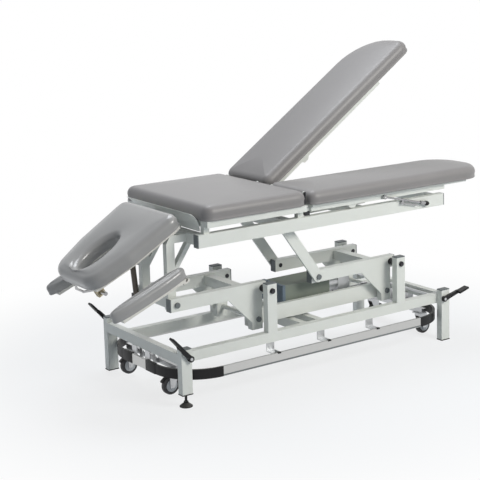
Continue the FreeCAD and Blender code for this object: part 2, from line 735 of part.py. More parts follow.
def head_handle():
    """Bent release handle and its block under the front of the head section."""
    low = HEAD_PAD_Z[0] - HEAD_BOARD_T
    front = HEAD_REAR - HEAD_LEN
    block = box(front + 34, front + 66, HEAD_C - 62, HEAD_C - 38, low - 62, low)
    block = block.cut(rod_y(front + 50, low - 46, HEAD_C - 70, HEAD_C, 5 + FIT))
    save("handle_block", tip(block, HEAD_HINGE, -HEAD_DOWN))
    path = [(front + 50, HEAD_C - 66), (front + 50, HEAD_C - 20), (front + 22, HEAD_C + 30),
            (front + 22, HEAD_C + 90), (front + 46, HEAD_C + 140)]
    pieces = []
    for (ax, ay), (bx, by) in zip(path, path[1:]):
        run = V(bx - ax, by - ay, 0)
        pieces.append(Part.makeCylinder(5, run.Length + 4, V(ax, ay, low - 46), run))
    knob = Part.makeCylinder(8, 34, V(front + 50, HEAD_C - 66, low - 46), V(0, -1, 0))
    save("head_handle", tip(fuse(pieces + [knob]), HEAD_HINGE, -HEAD_DOWN))


def arm_rests():
    for name, y in (("near", ARM_Y[0]), ("far", ARM_Y[1])):
        x0, x1 = ARM_PAD_X
        z0, z1 = ARM_PAD_Z
        pad = box(x0, x1, y, y + ARM_WIDE, z0, z1)
        pad = pad.makeFillet(29.0, upright_edges(pad))
        pad = pad.makeChamfer(9.0, flat_edges(pad, z1))
        save("arm_pad_" + name, tip(pad, ARM_HINGE, -ARM_DOWN))
        low = z0 - ARM_BOARD_T
        board = box(x0 + 30, x1 - 14, y + 10, y + ARM_WIDE - 10, low, z0)
        x, z = ARM_HINGE
        lug = box(x - 14, x + 14, y + ARM_WIDE / 2 - 12, y + ARM_WIDE / 2 + 12, z - 14, low)
        board = board.fuse(lug).cut(rod_y(x, z, y - 1, y + ARM_WIDE + 1, 8 + FIT))
        save("arm_board_" + name, tip(board, ARM_HINGE, -ARM_DOWN))


def pedal(x, angle, y0, y1):
    heading = math.radians(angle)
    ux = math.cos(heading)
    uz = math.sin(heading)
    z = PEDAL_Z
    arm = slab([(x - 9 * uz, z + 9 * ux), (x + 9 * uz, z - 9 * ux),
                (x + 80 * ux + 7 * uz, z + 80 * uz - 7 * ux),
                (x + 80 * ux - 7 * uz, z + 80 * uz + 7 * ux)], y0, y1)
    boss = rod_y(x, z, y0, y1, 12)
    return arm.fuse(boss)


def paddle(x, angle, y0, y1):
    heading = math.radians(angle)
    ux = math.cos(heading)
    uz = math.sin(heading)
    z = PEDAL_Z
    a = 74.0
    b = PEDAL_LEN
    return slab([(x + a * ux + 5 * uz, z + a * uz - 5 * ux), (x + b * ux + 4 * uz, z + b * uz - 4 * ux),
                 (x + b * ux - 4 * uz, z + b * uz + 4 * ux), (x + a * ux - 5 * uz, z + a * uz + 5 * ux)],
                y0, y1)


def pedals():
    for name, x, angle in (("head", PEDAL_X[0], PEDAL_ANGLE[0]), ("foot", PEDAL_X[1], PEDAL_ANGLE[1])):
        shaft = rod_y(x, PEDAL_Z, -15, BASE_W + 15, PEDAL_SHAFT_R)
        pieces = []
        for y0, y1, p0, p1 in ((-14.0, -2.0, -30.0, 8.0), (BASE_W + 2.0, BASE_W + 14.0, 0.0, 0.0)):
            arm = pedal(x, angle, y0, y1)
            p0 = y0 - 16 if y0 < 0 else y0
            p1 = y1 if y0 < 0 else y1 + 16
            arm = arm.fuse(paddle(x, angle, p0, p1))
            pieces.append(arm.cut(rod_y(x, PEDAL_Z, -20, BASE_W + 20, PEDAL_SHAFT_R)))
        save("pedal_shaft_" + name, shaft)
        save("pedals_" + name, Part.makeCompound(pieces))


def carriage(name, x, low):
    top = low + 2 * WHEEL_R + 22
    bar = box(x - 12, x + 12, CASTOR_Y[0] - 30, CASTOR_Y[1] + 30, top + 4, top + 24)
    plates = [bar]
    for y in CASTOR_Y:
        plates.append(box(x - 22, x + 22, y - 22, y + 22, top, top + 4))
    for y in HANGER_END_Y:
        if x < MID_X:
            guide = (CROSS_X + SEAT_CLEAR, x - 12, PEDAL_Z - 9)
        else:
            guide = (x + 12, BASE_L - CROSS_X - SEAT_CLEAR, PEDAL_Z - 20)
        plates.append(box(guide[0], guide[1], y - GUIDE_W / 2, y + GUIDE_W / 2, top + 4, guide[2]))
    body = fuse(plates)
    for y in CASTOR_Y:
        body = body.cut(rod_z(x, y, top - 1, top + 14, 6 + FIT))
    save("carriage_" + name, body)


def castor(name, x, y, low, side):
    top = low + 2 * WHEEL_R + 22
    wx = x + side * TRAIL
    wz = low + WHEEL_R
    stem = rod_z(x, y, top - 8, top + 12, 6)
    crown = box(min(x, wx) - 11, max(x, wx) + 11, y - 16, y + 16, top - 12, top - 1)
    forks = [stem, crown]
    for s in (-1, 1):
        a = y + s * 16
        b = y + s * 13.5
        legs = slab([(wx - 9, wz - 9), (wx + 9, wz - 9), (x + 11 if side < 0 else wx + 11, top - 12),
                     (wx - 11 if side < 0 else x - 11, top - 12)], min(a, b), max(a, b))
        forks.append(legs)
    forks.append(rod_y(wx, wz, y - 18, y + 18, 4))
    save("castor_fork_" + name, fuse(forks))
    tyre = rod_y(wx, wz, y - WHEEL_W / 2, y + WHEEL_W / 2, WHEEL_R)
    tyre = tyre.makeChamfer(4.0, [e for e in tyre.Edges if len(e.Vertexes) == 1])
    tyre = tyre.cut(rod_y(wx, wz, y - 20, y + 20, HUB_R))
    hub = rod_y(wx, wz, y - WHEEL_W / 2 - 1, y + WHEEL_W / 2 + 1, HUB_R)
    hub = hub.cut(rod_y(wx, wz, y - 20, y + 20, 4 + FIT))
    save("castor_wheel_" + name, Part.makeCompound([tyre, hub]))


def castors():
    for end, name in ((0, "head"), (1, "foot")):
        x = CASTOR_X[end]
        low = CASTOR_LOW[end]
        carriage(name, x, low)
        side = -1 if end == 0 else 1
        castor(name + "_near", x, CASTOR_Y[0], low, side)
        castor(name + "_far", x, CASTOR_Y[1], low, side)


def bend(corner_x, corner_y, sx, sy):
    """A quarter ring in short arcs; its centre lies BAR_BEND inside the corner."""
    cx = corner_x + sx * BAR_BEND
    cy = corner_y + sy * BAR_BEND
    step = 90.0 / BEND_ARCS
    arcs = []
    for k in range(BEND_ARCS):
        ring = Part.makeCylinder(BAR_BEND, BAR_Z[1] - BAR_Z[0], V(cx, cy, BAR_Z[0]), V(0, 0, 1), step)
        ring = ring.cut(rod_z(cx, cy, BAR_Z[0] - 1, BAR_Z[1] + 1, BAR_BEND - BAR_T))
        start = {(1, 1): 180.0, (-1, 1): 270.0, (-1, -1): 0.0, (1, -1): 90.0}[(sx, sy)]
        ring.rotate(V(cx, cy, 0), V(0, 0, 1), start + k * step)
        arcs.append(ring)
    return arcs


def bar_hangers():
    """Strap brackets that hold the perimeter bar on the base frame."""
    z0, z1 = BAR_Z
    low = RAIL_TOP - RAIL_H
    inside = BAR_T - BAR_OUT + SEAT_CLEAR
    straps = []
    for x in HANGER_NEAR_X:
        a = x - HANGER_W / 2
        b = x + HANGER_W / 2
        pieces = [box(a, b, inside, inside + HANGER_T, z0 + 4, z1 - 4),
                  box(a, b, inside, NEAR_RAIL_Y + 20, z1 - 8, z1 - 8 + HANGER_T),
                  box(a, b, NEAR_RAIL_Y + 20 - HANGER_T, NEAR_RAIL_Y + 20, z1 - 8, low)]
        straps.append(fuse(pieces))
    for y in HANGER_END_Y:
        a = y - HANGER_W / 2
        b = y + HANGER_W / 2
        straps.append(box(inside, inside + HANGER_T, a, b, z0 + 4, low))
        straps.append(box(BASE_L - inside - HANGER_T, BASE_L - inside, a, b, z0 + 4, low))
    save("bar_hangers", Part.makeCompound(straps))


def foot_bar():
    x0 = -BAR_OUT
    x1 = BASE_L + BAR_OUT
    y0 = -BAR_OUT
    y1 = BASE_W + BAR_OUT
    r = BAR_BEND
    z0, z1 = BAR_Z
    bars = [box(x0 + r, x1 - r, y0, y0 + BAR_T, z0, z1), box(x0 + r, x1 - r, y1 - BAR_T, y1, z0, z1),
            box(x0, x0 + BAR_T, y0 + r, y1 - r, z0, z1), box(x1 - BAR_T, x1, y0 + r, y1 - r, z0, z1)]
    save("foot_bar", Part.makeCompound(bars))
    corners = bend(x0, y0, 1, 1) + bend(x0, y1, 1, -1) + bend(x1, y0, -1, 1) + bend(x1, y1, -1, -1)
    save("foot_bar_corners", Part.makeCompound(corners))


def main():
    os.makedirs("parts", exist_ok=True)
    base_frame()
    frame_caps()
    leg_shoes()
    levelling_foot()
    lift_pivots()
    for name, x in (("lever_a", PIVOT_X[0]), ("lever_b", PIVOT_X[1])):
        lever(name, x)
        lever_caps(name + "_caps", x)
    link_bar()
    drive_unit()
    upper_frame()
    upper_caps()
    head_cover()
    seat_pad()
    leg_sections()
    leg_stays()
    head_section()
    head_strut()
    head_handle()
    arm_rests()
    pedals()
    castors()
    bar_hangers()
    foot_bar()
    release_lever()


main()
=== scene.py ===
"""Treatment couch: upholstery, finishes, small fittings, stage and camera."""

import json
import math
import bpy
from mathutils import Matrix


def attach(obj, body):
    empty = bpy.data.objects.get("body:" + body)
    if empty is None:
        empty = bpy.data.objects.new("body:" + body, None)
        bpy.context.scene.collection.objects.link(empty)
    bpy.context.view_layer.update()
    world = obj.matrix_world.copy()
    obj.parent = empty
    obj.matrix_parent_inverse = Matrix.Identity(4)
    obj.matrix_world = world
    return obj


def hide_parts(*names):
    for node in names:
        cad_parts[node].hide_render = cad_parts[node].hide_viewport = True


bl_info = {
    "name": "Treatment Couch Dressing",
    "version": (1, 0, 0),
    "blender": (4, 5, 0),
    "location": "View3D > Sidebar > Couch",
    "description": "Upholstery, finishes and small fittings for a treatment couch",
    "category": "Object",
}

import bmesh
import bpy
from mathutils import Matrix, Vector

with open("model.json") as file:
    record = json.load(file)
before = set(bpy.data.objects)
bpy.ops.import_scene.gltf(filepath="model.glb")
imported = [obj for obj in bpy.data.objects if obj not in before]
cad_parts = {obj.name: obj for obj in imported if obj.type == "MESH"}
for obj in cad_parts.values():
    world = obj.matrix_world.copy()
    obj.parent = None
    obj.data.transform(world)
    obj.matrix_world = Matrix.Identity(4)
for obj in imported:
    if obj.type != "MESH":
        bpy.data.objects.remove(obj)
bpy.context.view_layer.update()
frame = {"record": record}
JOINTS = {joint["name"]: joint for joint in frame["record"]["behaviour"]["joints"]}
MM = 0.001


def joint_place(name):
    return Vector(JOINTS[name]["pos_m"])


# The couch is drawn in millimetres at a handy size, and brought to full size and origin.
FULL_SIZE = 1.1
DRAWN_MIDDLE = (632.0, 300.0)

# Upholstery, in metres. Each pad is shaped flat and then turned about its hinge.
HEAD_DOWN = math.radians(31.0)
ARM_DOWN = math.radians(22.0)
FAR_LEG_UP = math.radians(34.5)
PAD_CLEAR = 0.4 * MM
PAD_TUCK = 3.0 * MM
PAD_SMOOTH = 60.0
SEAT_CORNER = 0.040
LEG_HEEL = 0.038
LEG_TIPS = {"near": (0.125, 0.150), "far": (0.050, 0.215)}
LEG_REACH = {"near": 0.009, "far": 0.004}
HEAD_EDGE = 0.031
HEAD_KNEE = 0.187
HEAD_KNEE_SHARE = 0.935
HEAD_FRONT_SHARE = 150.0 / 205.0
HEAD_CORNERS = (0.045, 0.045, 0.09, 0.085, 0.085, 0.09)
HOLE_CENTRE_X = (-175.0 - DRAWN_MIDDLE[0]) * FULL_SIZE * MM
HOLE_RADII = (99.0 * FULL_SIZE * MM, 55.0 * FULL_SIZE * MM)
HOLE_ROLL = 27.0 * MM
ARM_FULLNESS = 2.7
ARM_CROWN = 0.005
ARM_EDGE = 0.018
ARM_PULL = 0.0015

# Fittings, in drawn millimetres
BAR_END_X = (("head", -12.0), ("foot", 1362.0))
BAR_SLEEVE_Y = (("near", 176.0), ("far", 352.0))
BAR_THICK = 10.0
BAR_Z = (91.0, 130.0)
SLEEVE_LENGTH = 72.0
SLEEVE_SKIN = 1.5
CLIP_X = (432.0, 682.0, 938.0)
CLIP_LENGTH = 18.0
# Painted shade: dark strips along the foot bar's lower groove, their ends along X and their face on each
# side
GROOVE_SHADE_X = (179.0, 1181.0)
GROOVE_SHADE_Y = (("near", -12.6), ("far", 611.0))
PIVOT_X = (("lever_a", 442.5), ("lever_b", 1110.5))
PIVOT_Z = 369.0
RELEASE_TIP = (1245.0, 19.0, 612.0)
RELEASE_SLOPE = math.atan2(56.0, 230.0)
BRAKE_TABS = (("head_near", 2.0, 140.0, 75.0, 15.0), ("head_far", 2.0, 460.0, 75.0, 15.0),
              ("foot_near", 1364.0, 140.0, 58.0, 10.0), ("foot_far", 1364.0, 460.0, 58.0, 10.0))
BRAKE_TAB_SLOPE = math.radians(38.0)
WHEEL_HUB = 26.6 * MM

# Stage, in metres: each lamp's name, place, target, size, power and colour
LAMPS = (("key_lamp", (1.6, -4.2, 3.2), (0.1, 0.0, 0.5), 2.2, 165.0, (1.0, 0.98, 0.93)),
         ("fill_lamp", (-4.5, -1.5, 2.6), (0.0, 0.0, 0.6), 3.0, 4.0, (0.86, 0.93, 1.0)),
         ("top_lamp", (0.3, 1.2, 4.2), (0.0, 0.0, 0.6), 2.4, 95.0, (0.93, 0.96, 1.0)))
CAMERA_PLACE = (-3.3174, -4.6317, 1.8345)
CAMERA_HEADING = math.radians(54.91)
CAMERA_DIP = math.radians(9.488)
CAMERA_ROLL = math.radians(-1.489)
CAMERA_LENS = 96.08
CAMERA_SHIFT = (-0.0350, -0.1503)


def drawn(x, y, z):
    """A drawn point, in millimetres, brought to full size and origin."""
    return Vector(((x - DRAWN_MIDDLE[0]) * FULL_SIZE * MM, (y - DRAWN_MIDDLE[1]) * FULL_SIZE * MM,
                   z * FULL_SIZE * MM))


class CouchSizes(bpy.types.PropertyGroup):
    """Sizes of the upholstery."""

    seat_crown: bpy.props.FloatProperty(
        name="Seat crown", description="How far the seat's middle stands above its edges",
        default=0.009, min=0.0, max=0.02, unit="LENGTH")
    leg_crown: bpy.props.FloatProperty(
        name="Leg crown", description="How far the leg sections' middle line stands proud",
        default=0.008, min=0.0, max=0.02, unit="LENGTH")
    head_crown: bpy.props.FloatProperty(
        name="Head crown", description="How far the head section swells between edge and face hole",
        default=0.006, min=0.0, max=0.02, unit="LENGTH")
    edge_round: bpy.props.FloatProperty(
        name="Edge rounding", description="Radius of the upper edge of the upholstery",
        default=0.034, min=0.004, max=0.036, unit="LENGTH")
    side_pull: bpy.props.FloatProperty(
        name="Side pull", description="How far the cover's sides draw in above the board",
        default=0.003, min=0.0, max=0.01, unit="LENGTH")


class CouchColours(bpy.types.PropertyGroup):
    """Colours of the finishes."""

    vinyl: bpy.props.FloatVectorProperty(
        name="Couch vinyl", description="Colour of the seat and leg covers",
        subtype="COLOR", size=3, default=(0.234, 0.224, 0.222), min=0.0, max=1.0)
    head_vinyl: bpy.props.FloatVectorProperty(
        name="Head vinyl", description="Colour of the head and arm covers",
        subtype="COLOR", size=3, default=(0.295, 0.292, 0.288), min=0.0, max=1.0)
    paint: bpy.props.FloatVectorProperty(
        name="Frame paint", description="Colour of the powder-coated frame",
        subtype="COLOR", size=3, default=(0.74, 0.757, 0.715), min=0.0, max=1.0)
    black: bpy.props.FloatVectorProperty(
        name="Black plastic", description="Colour of pedals, shoes and corner pieces",
        subtype="COLOR", size=3, default=(0.006, 0.006, 0.007), min=0.0, max=1.0)
    # This colour also paints the dark shade strips along the foot bar's lower groove.
    cap: bpy.props.FloatVectorProperty(
        name="Tube caps", description="Colour of the caps in the tube ends",
        subtype="COLOR", size=3, default=(0.16, 0.175, 0.18), min=0.0, max=1.0)
    board: bpy.props.FloatVectorProperty(
        name="Boards", description="Colour of the pale boards under the upholstery",
        subtype="COLOR", size=3, default=(0.72, 0.70, 0.65), min=0.0, max=1.0)


def sizes():
    return bpy.context.scene.couch_sizes


def colours():
    return bpy.context.scene.couch_colours


# Shader node groups


def new_group(name, inputs, outputs):
    group = bpy.data.node_groups.new(name, "ShaderNodeTree")
    for label, kind, value in inputs:
        socket = group.interface.new_socket(name=label, in_out="INPUT", socket_type=kind)
        if value is not None:
            socket.default_value = value
    for label, kind in outputs:
        group.interface.new_socket(name=label, in_out="OUTPUT", socket_type=kind)
    return group, group.nodes.new("NodeGroupInput"), group.nodes.new("NodeGroupOutput")


def node(tree, kind, **values):
    made = tree.nodes.new(kind)
    for key, value in values.items():
        setattr(made, key, value)
    return made


def maths(tree, operation, first, second=None, third=None):
    made = node(tree, "ShaderNodeMath", operation=operation)
    for index, value in enumerate((first, second, third)):
        if value is None:
            continue
        if isinstance(value, (int, float)):
            made.inputs[index].default_value = value
        else:
            tree.links.new(value, made.inputs[index])
    return made.outputs[0]


def blend_colour(tree, factor, first, second):
    made = node(tree, "ShaderNodeMix", data_type="RGBA")
    for socket, value in ((made.inputs[0], factor), (made.inputs[6], first), (made.inputs[7], second)):
        if isinstance(value, (int, float)):
            socket.default_value = value
        elif isinstance(value, tuple):
            socket.default_value = value + (1.0,) * (4 - len(value))
        else:
            tree.links.new(value, socket)
    return made.outputs[2]


def noise(tree, coords, scale, detail=2.0, roughness=0.5):
    made = node(tree, "ShaderNodeTexNoise")
    made.inputs["Scale"].default_value = scale
    made.inputs["Detail"].default_value = detail
    made.inputs["Roughness"].default_value = roughness
    tree.links.new(coords, made.inputs["Vector"])
    return made.outputs["Fac"]


def grain_group():
    """Leather-like cells with soft folds, as a height and a mask."""
    group, start, end = new_group(
        "Vinyl grain",
        [("Cell scale", "NodeSocketFloat", 900.0), ("Fold scale", "NodeSocketFloat", 14.0)],
        [("Height", "NodeSocketFloat"), ("Mottle", "NodeSocketFloat")])
    coords = node(group, "ShaderNodeTexCoord").outputs["Object"]
    cells = node(group, "ShaderNodeTexVoronoi", feature="DISTANCE_TO_EDGE")
    group.links.new(coords, cells.inputs["Vector"])
    group.links.new(start.outputs["Cell scale"], cells.inputs["Scale"])
    folds = node(group, "ShaderNodeTexNoise")
    group.links.new(coords, folds.inputs["Vector"])
    group.links.new(start.outputs["Fold scale"], folds.inputs["Scale"])
    edge = maths(group, "MINIMUM", cells.outputs["Distance"], 0.25)
    height = maths(group, "MULTIPLY_ADD", edge, 0.6, maths(group, "MULTIPLY", folds.outputs["Fac"], 0.5))
    group.links.new(height, end.inputs["Height"])
    mottle = noise(group, coords, 5.0, 4.0, 0.6)
    group.links.new(mottle, end.inputs["Mottle"])
    return group


def wear_group():
    """A mask along rounded edges, broken up by noise."""
    group, start, end = new_group(
        "Edge wear",
        [("Width", "NodeSocketFloat", 0.0012), ("Amount", "NodeSocketFloat", 0.6)],
        [("Mask", "NodeSocketFloat")])
    bevel = node(group, "ShaderNodeBevel", samples=4)
    group.links.new(start.outputs["Width"], bevel.inputs["Radius"])
    geometry = node(group, "ShaderNodeNewGeometry")
    dot = node(group, "ShaderNodeVectorMath", operation="DOT_PRODUCT")
    group.links.new(bevel.outputs["Normal"], dot.inputs[0])
    group.links.new(geometry.outputs["Normal"], dot.inputs[1])
    edge = maths(group, "SUBTRACT", 1.0, dot.outputs["Value"])
    coords = node(group, "ShaderNodeTexCoord").outputs["Object"]
    broken = noise(group, coords, 40.0, 5.0, 0.65)
    mask = maths(group, "MULTIPLY", maths(group, "MULTIPLY", edge, 3.0), broken)
    mask = maths(group, "MULTIPLY", mask, start.outputs["Amount"])
    clamp = node(group, "ShaderNodeClamp")
    group.links.new(mask, clamp.inputs["Value"])
    group.links.new(clamp.outputs[0], end.inputs["Mask"])
    return group


def speckle_group():
    """Fine moulded or powder texture, with a slow drift of tone."""
    group, start, end = new_group(
        "Surface speckle",
        [("Fine scale", "NodeSocketFloat", 1400.0), ("Drift scale", "NodeSocketFloat", 6.0)],
        [("Height", "NodeSocketFloat"), ("Drift", "NodeSocketFloat")])
    coords = node(group, "ShaderNodeTexCoord").outputs["Object"]
    fine = node(group, "ShaderNodeTexNoise")
    drift = node(group, "ShaderNodeTexNoise")
    for made, label in ((fine, "Fine scale"), (drift, "Drift scale")):
        group.links.new(coords, made.inputs["Vector"])
        group.links.new(start.outputs[label], made.inputs["Scale"])
    group.links.new(fine.outputs["Fac"], end.inputs["Height"])
    group.links.new(drift.outputs["Fac"], end.inputs["Drift"])
    return group


def dust_group():
    """Dust that settles on faces that look up and low down."""
    group, start, end = new_group(
        "Floor dust", [("Amount", "NodeSocketFloat", 0.25)], [("Mask", "NodeSocketFloat")])
    texture = node(group, "ShaderNodeTexCoord")
    split = node(group, "ShaderNodeSeparateXYZ")
    group.links.new(texture.outputs["Object"], split.inputs[0])
    normal = node(group, "ShaderNodeSeparateXYZ")
    geometry = node(group, "ShaderNodeNewGeometry")
    group.links.new(geometry.outputs["Normal"], normal.inputs[0])
    low = node(group, "ShaderNodeMapRange")
    low.inputs["From Min"].default_value = 0.30
    low.inputs["From Max"].default_value = 0.0
    group.links.new(split.outputs["Z"], low.inputs["Value"])
    up = maths(group, "MAXIMUM", normal.outputs["Z"], 0.0)
    broken = noise(group, texture.outputs["Object"], 25.0, 6.0, 0.7)
    mask = maths(group, "MULTIPLY", maths(group, "MULTIPLY", low.outputs[0], up), broken)
    mask = maths(group, "MULTIPLY", mask, start.outputs["Amount"])
    group.links.new(mask, end.inputs["Mask"])
    return group


def shared_groups():
    made = {}
    for name, build in (("Vinyl grain", grain_group), ("Edge wear", wear_group),
                        ("Surface speckle", speckle_group), ("Floor dust", dust_group)):
        made[name] = bpy.data.node_groups.get(name) or build()
    return made


# Materials


def place_group(tree, name, **values):
    made = node(tree, "ShaderNodeGroup", node_tree=shared_groups()[name])
    for key, value in values.items():
        made.inputs[key.replace("_", " ").capitalize()].default_value = value
    return made


def blank(name, roughness=0.5, metallic=0.0, coat=0.0):
    material = bpy.data.materials.new(name)
    material.use_nodes = True
    tree = material.node_tree
    shader = tree.nodes["Principled BSDF"]
    shader.inputs["Roughness"].default_value = roughness
    shader.inputs["Metallic"].default_value = metallic
    shader.inputs["Coat Weight"].default_value = coat
    return material, tree, shader


def bump(tree, shader, height, strength, distance=0.001):
    made = node(tree, "ShaderNodeBump")
    made.inputs["Strength"].default_value = strength
    made.inputs["Distance"].default_value = distance
    tree.links.new(height, made.inputs["Height"])
    tree.links.new(made.outputs["Normal"], shader.inputs["Normal"])
    return made


def shade(colour, factor):
    return tuple(min(1.0, channel * factor) for channel in colour)


def vinyl_cover(name, colour, roughness, coat, cell, strength):
    material, tree, shader = blank(name, roughness, 0.0, coat)
    grain = place_group(tree, "Vinyl grain", Cell_scale=cell)
    tone = blend_colour(tree, grain.outputs["Mottle"], shade(colour, 0.90), shade(colour, 1.08))
    tree.links.new(tone, shader.inputs["Base Color"])
    rough = maths(tree, "MULTIPLY_ADD", grain.outputs["Mottle"], 0.16, roughness - 0.08)
    tree.links.new(rough, shader.inputs["Roughness"])
    shader.inputs["Coat Roughness"].default_value = 0.22
    shader.inputs["Sheen Weight"].default_value = 0.08
    bump(tree, shader, grain.outputs["Height"], strength, 0.0006)
    return material


def painted(name, colour, roughness=0.34, worn=(0.42, 0.43, 0.43)):
    material, tree, shader = blank(name, roughness)
    speckle = place_group(tree, "Surface speckle", Fine_scale=900.0)
    wear = place_group(tree, "Edge wear", Amount=0.35)
    dust = place_group(tree, "Floor dust", Amount=0.3)
    tone = blend_colour(tree, speckle.outputs["Drift"], shade(colour, 0.95), shade(colour, 1.04))
    tone = blend_colour(tree, wear.outputs["Mask"], tone, worn)
    tone = blend_colour(tree, dust.outputs["Mask"], tone, (0.45, 0.42, 0.38))
    tree.links.new(tone, shader.inputs["Base Color"])
    rough = maths(tree, "MULTIPLY_ADD", speckle.outputs["Drift"], 0.12, roughness - 0.06)
    tree.links.new(rough, shader.inputs["Roughness"])
    bump(tree, shader, speckle.outputs["Height"], 0.10, 0.0004)
    return material


def plastic(name, colour, roughness=0.5, strength=0.25):
    material, tree, shader = blank(name, roughness)
    shader.inputs["Specular IOR Level"].default_value = 0.28
    speckle = place_group(tree, "Surface speckle", Fine_scale=1600.0)
    wear = place_group(tree, "Edge wear", Amount=0.5)
    dust = place_group(tree, "Floor dust", Amount=0.35)
    tone = blend_colour(tree, speckle.outputs["Drift"], shade(colour, 0.85), shade(colour, 1.2))
    tone = blend_colour(tree, wear.outputs["Mask"], tone, shade(colour, 2.2))
    tone = blend_colour(tree, dust.outputs["Mask"], tone, (0.40, 0.38, 0.35))
    tree.links.new(tone, shader.inputs["Base Color"])
    bump(tree, shader, speckle.outputs["Height"], strength, 0.0004)
    return material


def metal(name, colour, roughness, stretch=None, strength=0.08):
    material, tree, shader = blank(name, roughness, 1.0)
    coords = node(tree, "ShaderNodeTexCoord").outputs["Object"]
    if stretch:
        mapping = node(tree, "ShaderNodeMapping")
        mapping.inputs["Scale"].default_value = stretch
        tree.links.new(coords, mapping.inputs["Vector"])
        coords = mapping.outputs["Vector"]
    lines = noise(tree, coords, 60.0 if stretch else 45.0, 6.0, 0.6)
    tone = blend_colour(tree, lines, shade(colour, 0.86), shade(colour, 1.1))
    tree.links.new(tone, shader.inputs["Base Color"])
    rough = maths(tree, "MULTIPLY_ADD", lines, 0.2, max(0.03, roughness - 0.1))
    tree.links.new(rough, shader.inputs["Roughness"])
    bump(tree, shader, lines, strength, 0.0003)
    return material


def board_finish(name, colour):
    material, tree, shader = blank(name, 0.55)
    coords = node(tree, "ShaderNodeTexCoord").outputs["Object"]
    mapping = node(tree, "ShaderNodeMapping")
    mapping.inputs["Scale"].default_value = (3.0, 40.0, 40.0)
    tree.links.new(coords, mapping.inputs["Vector"])
    fibres = noise(tree, mapping.outputs["Vector"], 8.0, 5.0, 0.6)
    tone = blend_colour(tree, fibres, shade(colour, 0.90), shade(colour, 1.06))
    tree.links.new(tone, shader.inputs["Base Color"])
    bump(tree, shader, fibres, 0.12, 0.0004)
    return material


def wheel_finish(name, centre, hub_radius):
    """Dark tread outside, pale grey centre inside, told apart by distance from the axle."""
    material, tree, shader = blank(name, 0.55)
    mapping = node(tree, "ShaderNodeMapping")
    mapping.inputs["Location"].default_value = (-centre[0], 0.0, -centre[2])
    mapping.inputs["Scale"].default_value = (1.0, 0.0, 1.0)
    coords = node(tree, "ShaderNodeTexCoord").outputs["Object"]
    tree.links.new(coords, mapping.inputs["Vector"])
    reach = node(tree, "ShaderNodeVectorMath", operation="LENGTH")
    tree.links.new(mapping.outputs["Vector"], reach.inputs[0])
    outside = maths(tree, "GREATER_THAN", reach.outputs["Value"], hub_radius)
    speckle = place_group(tree, "Surface speckle", Fine_scale=700.0)
    dust = place_group(tree, "Floor dust", Amount=0.5)
    tread = blend_colour(tree, speckle.outputs["Drift"], (0.014, 0.014, 0.016), (0.035, 0.035, 0.038))
    centre_tone = blend_colour(tree, speckle.outputs["Drift"], (0.42, 0.44, 0.46), (0.52, 0.54, 0.56))
    tone = blend_colour(tree, outside, centre_tone, tread)
    tone = blend_colour(tree, dust.outputs["Mask"], tone, (0.35, 0.33, 0.30))
    tree.links.new(tone, shader.inputs["Base Color"])
    bump(tree, shader, speckle.outputs["Height"], 0.2, 0.0005)
    return material


def finishes():
    found = bpy.data.materials
    if "Frame paint" in found:
        return found
    tint = colours()
    vinyl_cover("Couch vinyl", tuple(tint.vinyl), 0.46, 0.05, 1100.0, 0.35)
    vinyl_cover("Head vinyl", tuple(tint.head_vinyl), 0.32, 0.45, 1700.0, 0.10)
    painted("Frame paint", tuple(tint.paint))
    painted("Strut bronze", (0.055, 0.040, 0.026), 0.24, (0.42, 0.30, 0.16))
    plastic("Black plastic", tuple(tint.black), 0.46)
    plastic("Tube caps", tuple(tint.cap), 0.5)
    plastic("Drive cover", (0.13, 0.17, 0.21), 0.48)
    plastic("Drive housing", (0.19, 0.215, 0.18), 0.5)
    metal("Dark bolt", (0.06, 0.06, 0.065), 0.35)
    plastic("Cast nylon", (0.50, 0.42, 0.28), 0.5)
    metal("Zinc plate", (0.55, 0.56, 0.57), 0.38)
    metal("Bright chrome", (0.40, 0.40, 0.41), 0.18, (1.0, 8.0, 8.0), 0.02)
    metal("Bar aluminium", (0.56, 0.56, 0.55), 0.42, (1.0, 30.0, 30.0), 0.08)
    board_finish("Pale board", tuple(tint.board))
    return found


NODE_FINISH = {
    "Frame paint": ["base_legs", "base_crossbars", "base_rails", "lift_posts", "lever_a", "lever_b",
                    "link_bar", "top_rails", "top_crossbars", "columns", "slant_links",
                    "leg_frame_near", "leg_frame_far", "leg_stay_near", "leg_stay_far",
                    "head_cover"],
    "Drive housing": ["drive_box"],
    "Dark bolt": ["lift_pivots", "upper_pins"],
    "Tube caps": ["frame_caps", "upper_caps", "lever_a_caps", "lever_b_caps"],
    "Black plastic": ["leg_shoes", "levelling_foot", "pedals_head", "pedals_foot", "foot_bar_corners"],
    "Drive cover": ["drive_cover"],
    "Zinc plate": ["bar_hangers", "pedal_shaft_head", "pedal_shaft_foot",
                   "carriage_head", "carriage_foot", "castor_fork_head_near", "castor_fork_head_far",
                   "castor_fork_foot_near", "castor_fork_foot_far", "drive_motor"],
    "Bright chrome": ["drive_rod", "head_strut_rod", "head_handle", "release_lever"],
    "Strut bronze": ["head_strut_tube"],
    "Cast nylon": ["handle_block"],
    "Bar aluminium": ["foot_bar"],
    "Pale board": ["head_board", "arm_board_near", "arm_board_far"],
    "Couch vinyl": ["seat_pad", "leg_pad_near", "leg_pad_far"],
    "Head vinyl": ["head_pad", "arm_pad_near", "arm_pad_far"],
}
WHEELS = ("head_near", "head_far", "foot_near", "foot_far")


def give_finish(item, material):
    if item.data.materials:
        for slot in item.material_slots:
            slot.material = material
    else:
        item.data.materials.append(material)


# Making pieces


def clear_selection():
    if bpy.context.mode != "OBJECT":
        bpy.ops.object.mode_set(mode="OBJECT")
    bpy.ops.object.select_all(action="DESELECT")


